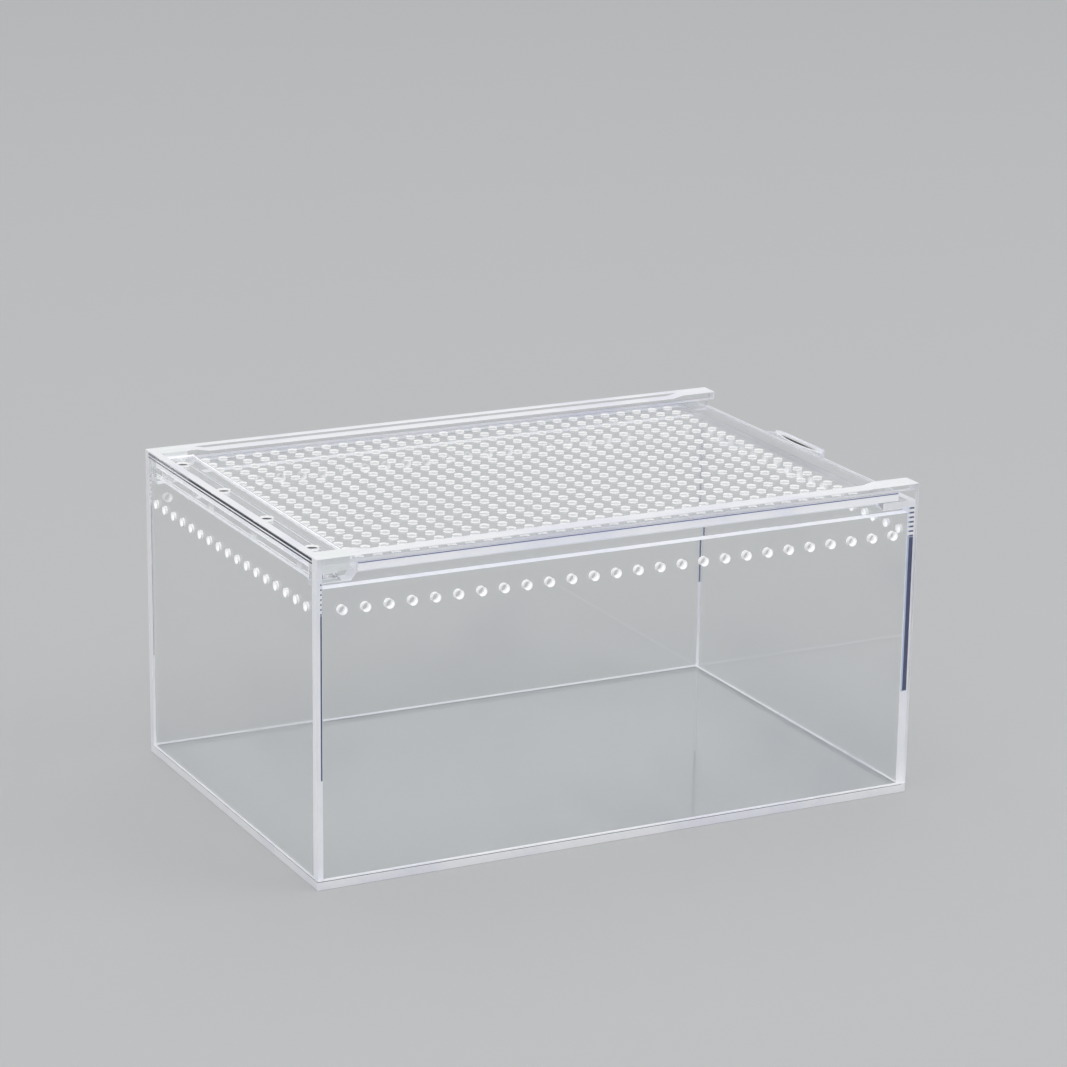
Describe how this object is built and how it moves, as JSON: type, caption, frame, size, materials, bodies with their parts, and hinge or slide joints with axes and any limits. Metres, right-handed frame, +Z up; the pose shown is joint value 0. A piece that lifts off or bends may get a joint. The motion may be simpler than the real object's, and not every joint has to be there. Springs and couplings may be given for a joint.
{
  "type": "reptile keeper box",
  "caption": "Clear acrylic keeper box for small reptiles, with rows of vent holes in its walls and a perforated lid that slides out of the top.",
  "frame": {"origin": "middle of the underside of the base plate, on the surface that the box stands on", "axes": "+X to the right, the way the lid slides out; +Y to the back; +Z up"},
  "size_m": [0.3, 0.2, 0.15],
  "materials": {
    "clear_acrylic": "clear cast sheet, polished faces and bright white cut edges",
    "frosted_acrylic": "clear cast acrylic with frosted, milled faces"
  },
  "bodies": {
    "box": {"base_plate": "clear_acrylic", "front_panel": "clear_acrylic", "back_panel": "clear_acrylic", "left_panel": "clear_acrylic", "right_panel": "clear_acrylic", "front_runner": "clear_acrylic", "back_runner": "clear_acrylic", "left_bearer": "clear_acrylic", "right_crossbar": "clear_acrylic", "fixed_strip": "clear_acrylic", "front_left_block": "frosted_acrylic", "back_left_block": "frosted_acrylic", "front_cap": "clear_acrylic", "back_cap": "clear_acrylic"},
    "lid": {"lid_panel": "clear_acrylic", "finger_pull": "clear_acrylic"}
  },
  "joints": [
    {"name": "lid_slide", "type": "slide", "parent": "box", "child": "lid", "axis": [1, 0, 0], "range_m": [0, 0.285]}
  ]
}
